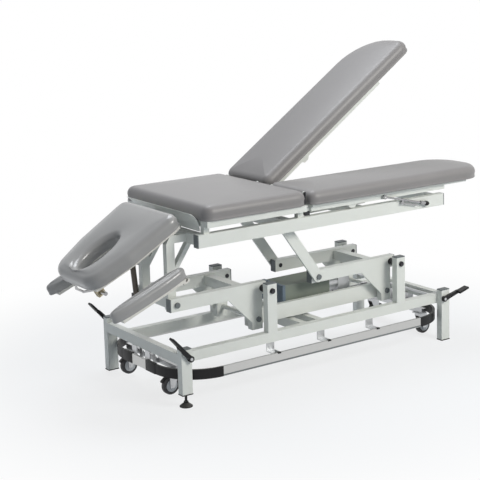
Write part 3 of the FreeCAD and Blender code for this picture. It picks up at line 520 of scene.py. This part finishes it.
def settle(item, name, material, body, smooth=35.0):
    """Names a piece, fixes its place in its mesh, gives it a finish and a body."""
    clear_selection()
    item.select_set(True)
    bpy.context.view_layer.objects.active = item
    bpy.ops.object.transform_apply(location=True, rotation=True, scale=True)
    bpy.ops.object.shade_smooth_by_angle(angle=math.radians(smooth))
    item.name = name
    item.data.name = name
    give_finish(item, finishes()[material])
    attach(item, body)
    clear_selection()
    return item


def from_rings(name, rings, cap_first):
    """A closed skin over rings with the same number of points."""
    count = len(rings[0])
    points = [tuple(point) for ring in rings for point in ring]
    faces = []
    for row in range(len(rings) - 1):
        a = row * count
        b = a + count
        for step in range(count):
            after = (step + 1) % count
            faces.append((a + step, a + after, b + after, b + step))
    if cap_first:
        faces.append(tuple(reversed(range(count))))
    mesh = bpy.data.meshes.new(name)
    mesh.from_pydata(points, [], faces)
    mesh.update()
    item = bpy.data.objects.new(name, mesh)
    bpy.context.scene.collection.objects.link(item)
    return item


def tidy_skin(item):
    """Merges doubles and turns every face outwards."""
    work = bmesh.new()
    work.from_mesh(item.data)
    bmesh.ops.remove_doubles(work, verts=work.verts, dist=0.00005)
    bmesh.ops.recalc_face_normals(work, faces=work.faces)
    work.to_mesh(item.data)
    work.free()


def arc_corners(corners, radii, steps=8):
    """A closed outline with each corner rounded by its own radius."""
    outline = []
    count = len(corners)
    for index in range(count):
        before = Vector(corners[index - 1])
        here = Vector(corners[index])
        after = Vector(corners[(index + 1) % count])
        first = (before - here).normalized()
        second = (after - here).normalized()
        half = first.angle(second) / 2
        reach = radii[index] / math.tan(half)
        centre = here + (first + second).normalized() * (radii[index] / math.sin(half))
        start = here + first * reach - centre
        end = here + second * reach - centre
        turn = start.angle_signed(end)
        for step in range(steps + 1):
            part = Vector(start)
            part.rotate(Matrix.Rotation(-turn * step / steps, 2))
            outline.append(centre + part)
    return outline


def resample(outline, count):
    """Points spaced evenly along a closed outline."""
    closed = outline + [outline[0]]
    lengths = [(closed[i + 1] - closed[i]).length for i in range(len(outline))]
    total = sum(lengths)
    points = []
    index = 0
    walked = 0.0
    for step in range(count):
        target = total * step / count
        while walked + lengths[index] < target and index < len(lengths) - 1:
            walked += lengths[index]
            index += 1
        share = (target - walked) / max(lengths[index], 1e-9)
        points.append(closed[index].lerp(closed[index + 1], share))
    return points


def outward(points):
    """Unit outward directions of a closed outline."""
    area = sum(points[i - 1].cross(points[i]) for i in range(len(points)))
    sign = 1.0 if area > 0 else -1.0
    found = []
    for index in range(len(points)):
        along = points[(index + 1) % len(points)] - points[index - 1]
        found.append(Vector((along.y, -along.x)).normalized() * sign)
    return found


def bend_measure(points):
    """How sharply the outline turns near each point, smoothed, from 0 to 1."""
    count = len(points)
    raw = []
    for index in range(count):
        a = points[index] - points[index - 3]
        b = points[(index + 3) % count] - points[index]
        raw.append(a.angle(b) if a.length > 0 and b.length > 0 else 0.0)
    top = max(raw) or 1.0
    return [sum(raw[(index + near) % count] for near in range(-3, 4)) / (7.0 * top)
            for index in range(count)]


def cover_profile(low, high, rounding, pull):
    """Height and inset of each ring up the side and over the edge."""
    depth = high - low
    rows = [(low, PAD_TUCK), (low + 0.5 * MM, PAD_TUCK * 0.45), (low + 2.5 * MM, 0.6 * MM)]
    for part in (0.18, 0.36, 0.54):
        side = low + (depth - rounding) * part
        rows.append((side, pull * math.sin(math.pi * part) * 0.8))
    for step in range(7):
        turn = math.pi / 2 * step / 6
        rows.append((high - rounding + rounding * math.sin(turn),
                     rounding - rounding * math.cos(turn)))
    return rows


def pad_skin(name, outline, spine, low, high, crown, rounding, pull, rows=9):
    """An upholstered pad: tucked bottom edge, drawn sides, rolled edge and crowned top."""
    facing = outward(outline)
    sharp = bend_measure(outline)
    rings = []
    count = len(outline)
    for height, inset in cover_profile(low, high, rounding, pull):
        ring = []
        share = (height - low) / (high - low)
        for index, point in enumerate(outline):
            pleat = math.sin(index * 2.1) * 0.9 * MM * sharp[index] * max(0.0, 1.0 - share * 1.5)
            ripple = math.sin(index * 0.37) * 0.35 * MM * (1.0 - share)
            place = point - facing[index] * (inset + max(0.0, pleat) + max(0.0, ripple))
            ring.append((place.x, place.y, height))
        rings.append(ring)
    last = [Vector((x, y)) for x, y, _ in rings[-1]]
    a, b = spine
    for row in range(1, rows + 1):
        share = row / (rows + 0.6)
        ring = []
        for point in last:
            along = b - a
            where = max(0.0, min(1.0, (point - a).dot(along) / max(along.length_squared, 1e-9)))
            target = a + along * where
            place = point.lerp(target, share)
            lift = crown * (1.0 - (1.0 - share) ** 2)
            wave = 0.35 * MM * math.sin(place.x * 37.0 + place.y * 19.0) * share * (1.0 - share)
            ring.append((place.x, place.y, high + lift + wave))
        rings.append(ring)
    item = from_rings(name, rings, True)
    close_top(item, count, len(rings))
    tidy_skin(item)
    return item


def close_top(item, count, rows):
    """Fills the narrow slot that the last ring of a skin leaves along its spine."""
    work = bmesh.new()
    work.from_mesh(item.data)
    work.verts.ensure_lookup_table()
    slot = work.faces.new([work.verts[(rows - 1) * count + step] for step in range(count)])
    bmesh.ops.triangulate(work, faces=[slot], ngon_method="BEAUTY")
    work.to_mesh(item.data)
    work.free()


def ring_pad_skin(name, outline, hole, low, high, crown, rounding, pull):
    """A pad with a hole: its skin runs over the top and down the hole's soft wall."""
    facing = outward(outline)
    sharp = bend_measure(outline)
    rings = []
    for height, inset in cover_profile(low, high, rounding, pull):
        share = (height - low) / (high - low)
        ring = []
        for index, point in enumerate(outline):
            pleat = math.sin(index * 2.1) * 0.7 * MM * sharp[index] * max(0.0, 1.0 - share * 1.5)
            place = point - facing[index] * (inset + max(0.0, pleat))
            ring.append((place.x, place.y, height))
        rings.append(ring)
    edge = [Vector((x, y)) for x, y, _ in rings[-1]]
    inner = outward(hole)
    rim = [point + inner[index] * HOLE_ROLL for index, point in enumerate(hole)]
    for row in range(1, 9):
        share = row / 9
        swell = crown * math.sin(math.pi * share) ** 0.8
        ring = []
        for outer, near in zip(edge, rim):
            place = outer.lerp(near, share)
            ring.append((place.x, place.y, high + swell))
        rings.append(ring)
    for step in range(7):
        turn = math.pi / 2 * step / 6
        rings.append([(point.x + inner[index].x * HOLE_ROLL * (1 - math.sin(turn)),
                       point.y + inner[index].y * HOLE_ROLL * (1 - math.sin(turn)),
                       high - HOLE_ROLL + HOLE_ROLL * math.cos(turn))
                      for index, point in enumerate(hole)])
    for part in (0.3, 0.65, 1.0):
        height = high - HOLE_ROLL - (high - HOLE_ROLL - low) * part
        draw = 1.5 * MM * math.sin(math.pi * part)
        rings.append([(point.x + inner[index].x * draw, point.y + inner[index].y * draw, height)
                      for index, point in enumerate(hole)])
    rings.append(rings[0])
    item = from_rings(name, rings, False)
    tidy_skin(item)
    return item


def turn_about(item, joint, angle):
    """Turns a finished skin about a joint's Y line, as its section stands in use."""
    centre = joint_place(joint)
    turn = Matrix.Translation(centre) @ Matrix.Rotation(-angle, 4, "Y") @ Matrix.Translation(-centre)
    item.data.transform(turn)
    item.data.update()


def flat_box(node_name, joint=None, angle=0.0):
    """The corners of a pad's own CAD solid, turned back flat about its hinge."""
    source = bpy.data.objects[node_name]
    points = [source.matrix_world @ vertex.co for vertex in source.data.vertices]
    if joint:
        centre = joint_place(joint)
        turn = Matrix.Translation(centre) @ Matrix.Rotation(angle, 4, "Y") @ Matrix.Translation(-centre)
        points = [turn @ point for point in points]
    low = Vector([min(point[axis] for point in points) for axis in range(3)])
    high = Vector([max(point[axis] for point in points) for axis in range(3)])
    return low, high


def rectangle(low, high, radii):
    corners = [(low.x, low.y), (high.x, low.y), (high.x, high.y), (low.x, high.y)]
    return arc_corners(corners, radii)


def pointed_oval(low, high, fullness, steps=160):
    """A long oval within a box; a higher fullness fills the corners more."""
    middle = (low + high) / 2
    half = (high - low) / 2
    points = []
    for step in range(steps):
        turn = 2 * math.pi * step / steps
        across = math.cos(turn)
        along = math.sin(turn)
        points.append(Vector((middle.x + half.x * math.copysign(abs(across) ** (2 / fullness), across),
                              middle.y + half.y * math.copysign(abs(along) ** (2 / fullness), along))))
    return points


class COUCH_OT_seat(bpy.types.Operator):
    """Upholster the seat section"""

    bl_idname = "couch.seat"
    bl_label = "Seat upholstery"

    def execute(self, context):
        values = sizes()
        low, high = flat_box("seat_pad")
        outline = resample(rectangle(low, high, [SEAT_CORNER] * 4), 240)
        centre_x = (low.x + high.x) / 2
        centre_y = (low.y + high.y) / 2
        half = (high.x - low.x) * 0.30
        spine = (Vector((centre_x, centre_y - half)), Vector((centre_x, centre_y + half)))
        item = pad_skin("seat_cushion", outline, spine, low.z + PAD_CLEAR, high.z,
                        values.seat_crown, values.edge_round, values.side_pull)
        settle(item, "seat_cushion", "Couch vinyl", "upper_frame", PAD_SMOOTH)
        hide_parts("seat_pad")
        return {"FINISHED"}


class COUCH_OT_legs(bpy.types.Operator):
    """Upholster the two leg sections"""

    bl_idname = "couch.legs"
    bl_label = "Leg upholstery"

    def execute(self, context):
        values = sizes()
        for side, joint, angle in (("near", None, 0.0), ("far", "leg_far_raise", FAR_LEG_UP)):
            low, high = flat_box("leg_pad_" + side, joint, angle)
            high.x += LEG_REACH[side]
            outline = resample(rectangle(low, high, [LEG_HEEL, *LEG_TIPS[side], LEG_HEEL]), 260)
            middle = (low.y + high.y) / 2
            half = (high.y - low.y) * 0.42
            spine = (Vector((low.x + half, middle)), Vector((high.x - half, middle)))
            item = pad_skin("leg_cushion_" + side, outline, spine, low.z + PAD_CLEAR, high.z,
                            values.leg_crown, values.edge_round, values.side_pull)
            if joint:
                turn_about(item, joint, angle)
            settle(item, "leg_cushion_" + side, "Couch vinyl", "leg_section_" + side, PAD_SMOOTH)
            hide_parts("leg_pad_" + side)
        return {"FINISHED"}


class COUCH_OT_head(bpy.types.Operator):
    """Upholster the head section with its face hole"""

    bl_idname = "couch.head"
    bl_label = "Head upholstery"

    def execute(self, context):
        values = sizes()
        low, high = flat_box("head_pad", "head_tilt", HEAD_DOWN)
        middle = (low.y + high.y) / 2
        rear = (high.y - low.y) / 2
        front = rear * HEAD_FRONT_SHARE
        knee = low.x + HEAD_KNEE
        wide = rear * HEAD_KNEE_SHARE
        corners = [(high.x, middle - rear), (high.x, middle + rear), (knee, middle + wide),
                   (low.x, middle + front), (low.x, middle - front), (knee, middle - wide)]
        outline = resample(arc_corners(corners, HEAD_CORNERS), 200)
        centre = Vector((HOLE_CENTRE_X, middle))
        hole = []
        for point in outline:
            away = point - centre
            heading = math.atan2(away.y / HOLE_RADII[1], away.x / HOLE_RADII[0])
            rim = Vector((HOLE_RADII[0] * math.cos(heading), HOLE_RADII[1] * math.sin(heading)))
            hole.append(centre + rim)
        item = ring_pad_skin("head_cushion", outline, hole, low.z + PAD_CLEAR, high.z,
                             values.head_crown, HEAD_EDGE, values.side_pull)
        turn_about(item, "head_tilt", HEAD_DOWN)
        settle(item, "head_cushion", "Head vinyl", "head_section", PAD_SMOOTH)
        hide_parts("head_pad")
        return {"FINISHED"}


class COUCH_OT_arms(bpy.types.Operator):
    """Upholster the two arm rests"""

    bl_idname = "couch.arms"
    bl_label = "Arm rest upholstery"

    def execute(self, context):
        for side in ("near", "far"):
            joint = "arm_" + side + "_tilt"
            low, high = flat_box("arm_pad_" + side, joint, ARM_DOWN)
            width = high.y - low.y
            outline = resample(pointed_oval(low, high, ARM_FULLNESS), 140)
            middle = (low.y + high.y) / 2
            spine = (Vector((low.x + width / 2, middle)), Vector((high.x - width / 2, middle)))
            item = pad_skin("arm_cushion_" + side, outline, spine, low.z + PAD_CLEAR, high.z,
                            ARM_CROWN, ARM_EDGE, ARM_PULL)
            turn_about(item, joint, ARM_DOWN)
            settle(item, "arm_cushion_" + side, "Head vinyl", "arm_rest_" + side, PAD_SMOOTH)
            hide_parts("arm_pad_" + side)
        return {"FINISHED"}


def face_towards(item, direction):
    """Selects the one flat face that looks along a direction, in edit mode."""
    bpy.ops.object.mode_set(mode="EDIT")
    bpy.ops.mesh.select_all(action="DESELECT")
    bpy.ops.mesh.select_mode(type="FACE")
    work = bmesh.from_edit_mesh(item.data)
    for face in work.faces:
        face.select_set(face.normal.dot(direction) > 0.99)
    bmesh.update_edit_mesh(item.data)


def rounded(item, width, segments=2):
    bevel = item.modifiers.new("Soft edge", "BEVEL")
    bevel.width = width
    bevel.segments = segments
    bevel.limit_method = "ANGLE"
    bpy.ops.object.modifier_apply(modifier=bevel.name)


def pivot_head(name, place, radius, depth, finish, body, dish):
    """A round head that faces the near side; its outer face is inset and sunk by the dish."""
    clear_selection()
    bpy.ops.mesh.primitive_cylinder_add(vertices=28, radius=radius, depth=depth, location=place,
                                        rotation=(math.pi / 2, 0.0, 0.0))
    item = bpy.context.active_object
    bpy.ops.object.transform_apply(location=True, rotation=True, scale=True)
    outer = Vector((0.0, -1.0, 0.0))
    face_towards(item, outer)
    bpy.ops.mesh.inset(thickness=radius * 0.35)
    bpy.ops.transform.translate(value=-outer * dish)
    bpy.ops.object.mode_set(mode="OBJECT")
    rounded(item, min(radius, depth) * 0.16)
    return settle(item, name, finish, body)


def shaped_block(name, low, high, finish, body, width, waist=0.0, turn=None):
    """A block between two corners with soft edges; its upper face is drawn in by the waist."""
    clear_selection()
    bpy.ops.mesh.primitive_cube_add(size=1.0, location=(low + high) / 2)
    item = bpy.context.active_object
    item.scale = high - low
    bpy.ops.object.transform_apply(location=True, rotation=True, scale=True)
    if waist:
        face_towards(item, Vector((0.0, 0.0, 1.0)))
        bpy.ops.transform.resize(value=(1.0 - waist, 1.0, 1.0))
        bpy.ops.object.mode_set(mode="OBJECT")
    rounded(item, width)
    if turn:
        centre, angle = turn
        item.data.transform(Matrix.Translation(centre) @ Matrix.Rotation(angle, 4, "Y")
                            @ Matrix.Translation(-centre))
    return settle(item, name, finish, body)


class COUCH_OT_fittings(bpy.types.Operator):
    """Add the sleeves, clips, painted groove shade strips, knob, pivot heads and brake tabs"""

    bl_idname = "couch.fittings"
    bl_label = "Small fittings"

    def execute(self, context):
        self.bar_sleeves()
        self.bar_clips()
        self.groove_shade_strips()
        self.release_knob()
        self.pivot_heads()
        self.brake_tabs()
        return {"FINISHED"}

    def bar_sleeves(self):
        """Black sleeves that carry the bar's corner pieces on along its two ends."""
        for end, x in BAR_END_X:
            for side, start in BAR_SLEEVE_Y:
                low = drawn(x - SLEEVE_SKIN, start, BAR_Z[0] - SLEEVE_SKIN)
                high = drawn(x + BAR_THICK + SLEEVE_SKIN, start + SLEEVE_LENGTH, BAR_Z[1] + SLEEVE_SKIN)
                shaped_block("bar_sleeve_" + end + "_" + side, low, high, "Black plastic", "foot_bar",
                             0.0015)

    def bar_clips(self):
        for index, x in enumerate(CLIP_X):
            shaped_block("bar_clip_%d" % (index + 1), drawn(x, -13.5, 126.0),
                         drawn(x + CLIP_LENGTH, -2.4, 132.5), "Black plastic", "foot_bar", 0.001, 0.3)

    def groove_shade_strips(self):
        """Dark strips of painted shade along the lower edge of the perimeter bar's long sides, standing
        for the shade in its groove.
        """
        for side, y in GROOVE_SHADE_Y:
            shaped_block("bar_strip_" + side, drawn(GROOVE_SHADE_X[0], y, 93.0),
                         drawn(GROOVE_SHADE_X[1], y + 1.6, 98.5), "Tube caps", "foot_bar", 0.0004)

    def release_knob(self):
        clear_selection()
        bpy.ops.mesh.primitive_uv_sphere_add(segments=24, ring_count=14, radius=0.0115,
                                             location=drawn(*RELEASE_TIP))
        item = bpy.context.active_object
        item.scale = (1.5, 1.0, 1.0)
        item.rotation_euler = (0.0, RELEASE_SLOPE, 0.0)
        settle(item, "release_knob", "Black plastic", "release_lever", 80.0)

    def pivot_heads(self):
        """Dished heads on the outer ends of the fixed lever pivots, by the near posts."""
        for lever, x in PIVOT_X:
            pivot_head("pivot_cap_" + lever, drawn(x, 22.2, PIVOT_Z), 0.0095, 0.005,
                       "Dark bolt", "base", 0.0015)

    def brake_tabs(self):
        """A sloping tab outside each wheel, which swivels with its fork."""
        for place, x, y, z, reach in BRAKE_TABS:
            side = -1.0 if place.startswith("head") else 1.0
            low = drawn(x - reach, y - 9.0, z - 2.5)
            high = drawn(x + reach, y + 9.0, z + 2.5)
            shaped_block("brake_tab_" + place, low, high, "Black plastic", "castor_fork_" + place,
                         0.0012, 0.2, ((low + high) / 2, side * BRAKE_TAB_SLOPE))


class COUCH_OT_finishes(bpy.types.Operator):
    """Give every CAD node its own finish"""

    bl_idname = "couch.finishes"
    bl_label = "Frame finishes"

    def execute(self, context):
        found = finishes()
        for label, names in NODE_FINISH.items():
            for name in names:
                if name in bpy.data.objects:
                    give_finish(bpy.data.objects[name], found[label])
        for place in WHEELS:
            centre = joint_place("castor_roll_" + place)
            wheel = wheel_finish("Wheel " + place.replace("_", " "), centre, WHEEL_HUB)
            give_finish(bpy.data.objects["castor_wheel_" + place], wheel)
        return {"FINISHED"}


# Stage


def open_floor():
    material = bpy.data.materials.new("Studio floor")
    material.use_nodes = True
    tree = material.node_tree
    shader = tree.nodes["Principled BSDF"]
    shader.inputs["Base Color"].default_value = (0.62, 0.66, 0.70, 1.0)
    shader.inputs["Roughness"].default_value = 0.9
    shader.inputs["Specular IOR Level"].default_value = 0.1
    plain = node(tree, "ShaderNodeEmission")
    plain.inputs["Color"].default_value = (1.0, 1.0, 1.0, 1.0)
    plain.inputs["Strength"].default_value = 1.0
    path = node(tree, "ShaderNodeLightPath")
    seen = maths(tree, "MAXIMUM", path.outputs["Is Camera Ray"], path.outputs["Is Glossy Ray"])
    coords = node(tree, "ShaderNodeTexCoord").outputs["Object"]
    reach = node(tree, "ShaderNodeVectorMath", operation="LENGTH")
    tree.links.new(coords, reach.inputs[0])
    far = node(tree, "ShaderNodeMapRange", interpolation_type="SMOOTHSTEP")
    far.inputs["From Min"].default_value = 0.9
    far.inputs["From Max"].default_value = 2.0
    far.inputs["To Min"].default_value = 0.76
    tree.links.new(reach.outputs["Value"], far.inputs["Value"])
    mixer = node(tree, "ShaderNodeMixShader")
    tree.links.new(maths(tree, "MULTIPLY", seen, far.outputs[0]), mixer.inputs[0])
    tree.links.new(shader.outputs[0], mixer.inputs[1])
    tree.links.new(plain.outputs[0], mixer.inputs[2])
    tree.links.new(mixer.outputs[0], tree.nodes["Material Output"].inputs["Surface"])
    return material


class COUCH_OT_stage(bpy.types.Operator):
    """Add the floor, the soft lights and the camera"""

    bl_idname = "couch.stage"
    bl_label = "Stage and camera"

    def execute(self, context):
        clear_selection()
        bpy.ops.mesh.primitive_plane_add(size=60.0, location=(0.0, 0.0, 0.0))
        floor = context.active_object
        floor.name = "studio_floor"
        floor.data.materials.append(open_floor())
        self.world(context.scene)
        self.lamps()
        self.camera(context.scene)
        clear_selection()
        return {"FINISHED"}

    def world(self, scene):
        world = scene.world or bpy.data.worlds.new("Studio")
        scene.world = world
        world.use_nodes = True
        tree = world.node_tree
        tree.nodes.clear()
        output = node(tree, "ShaderNodeOutputWorld")
        soft = node(tree, "ShaderNodeBackground")
        soft.inputs["Color"].default_value = (0.86, 0.92, 1.0, 1.0)
        soft.inputs["Strength"].default_value = 0.27
        plain = node(tree, "ShaderNodeBackground")
        plain.inputs["Strength"].default_value = 1.0
        plain.inputs["Color"].default_value = (1.0, 1.0, 1.0, 1.0)
        path = node(tree, "ShaderNodeLightPath")
        seen = maths(tree, "MAXIMUM", path.outputs["Is Camera Ray"], path.outputs["Is Glossy Ray"])
        seen = maths(tree, "MAXIMUM", seen, path.outputs["Is Transmission Ray"])
        mixer = node(tree, "ShaderNodeMixShader")
        tree.links.new(seen, mixer.inputs[0])
        tree.links.new(soft.outputs[0], mixer.inputs[1])
        tree.links.new(plain.outputs[0], mixer.inputs[2])
        tree.links.new(mixer.outputs[0], output.inputs["Surface"])

    def lamps(self):
        for name, place, target, size, power, tint in LAMPS:
            data = bpy.data.lights.new(name, "AREA")
            data.shape = "DISK"
            data.size = size
            data.energy = power
            data.color = tint
            lamp = bpy.data.objects.new(name, data)
            bpy.context.scene.collection.objects.link(lamp)
            lamp.location = place
            aim = Vector(target) - Vector(place)
            lamp.rotation_euler = aim.to_track_quat("-Z", "Y").to_euler()

    def camera(self, scene):
        data = bpy.data.cameras.new("couch_camera")
        data.sensor_width = 36.0
        data.lens = CAMERA_LENS
        data.shift_x, data.shift_y = CAMERA_SHIFT
        data.clip_end = 200.0
        camera = bpy.data.objects.new("couch_camera", data)
        scene.collection.objects.link(camera)
        ahead = Vector((math.cos(CAMERA_HEADING) * math.cos(CAMERA_DIP),
                        math.sin(CAMERA_HEADING) * math.cos(CAMERA_DIP), -math.sin(CAMERA_DIP)))
        right = Vector((math.sin(CAMERA_HEADING), -math.cos(CAMERA_HEADING), 0.0))
        up = right.cross(ahead)
        level = right * math.cos(CAMERA_ROLL) + up * math.sin(CAMERA_ROLL)
        top = up * math.cos(CAMERA_ROLL) - right * math.sin(CAMERA_ROLL)
        turn = Matrix((level, top, -ahead)).transposed().to_4x4()
        camera.matrix_world = Matrix.Translation(CAMERA_PLACE) @ turn
        scene.camera = camera


class COUCH_PT_panel(bpy.types.Panel):
    """Couch settings and steps"""

    bl_label = "Treatment couch"
    bl_idname = "COUCH_PT_panel"
    bl_space_type = "VIEW_3D"
    bl_region_type = "UI"
    bl_category = "Couch"

    def draw(self, context):
        for group in (context.scene.couch_sizes, context.scene.couch_colours):
            for name in group.__annotations__:
                self.layout.prop(group, name)
        for step in STEPS:
            self.layout.operator(step.bl_idname)


STEPS = (COUCH_OT_stage, COUCH_OT_finishes, COUCH_OT_seat, COUCH_OT_legs, COUCH_OT_head, COUCH_OT_arms,
         COUCH_OT_fittings)
CLASSES = (CouchSizes, CouchColours, *STEPS, COUCH_PT_panel)


def register():
    for item in CLASSES:
        bpy.utils.register_class(item)
    bpy.types.Scene.couch_sizes = bpy.props.PointerProperty(type=CouchSizes)
    bpy.types.Scene.couch_colours = bpy.props.PointerProperty(type=CouchColours)


def unregister():
    del bpy.types.Scene.couch_colours
    del bpy.types.Scene.couch_sizes
    for item in reversed(CLASSES):
        bpy.utils.unregister_class(item)


def main():
    register()
    bpy.context.scene.view_settings.view_transform = "Standard"
    bpy.ops.couch.stage()
    bpy.ops.couch.finishes()
    bpy.ops.couch.seat()
    bpy.ops.couch.legs()
    bpy.ops.couch.head()
    bpy.ops.couch.arms()
    bpy.ops.couch.fittings()


if __name__ == "__main__":
    main()
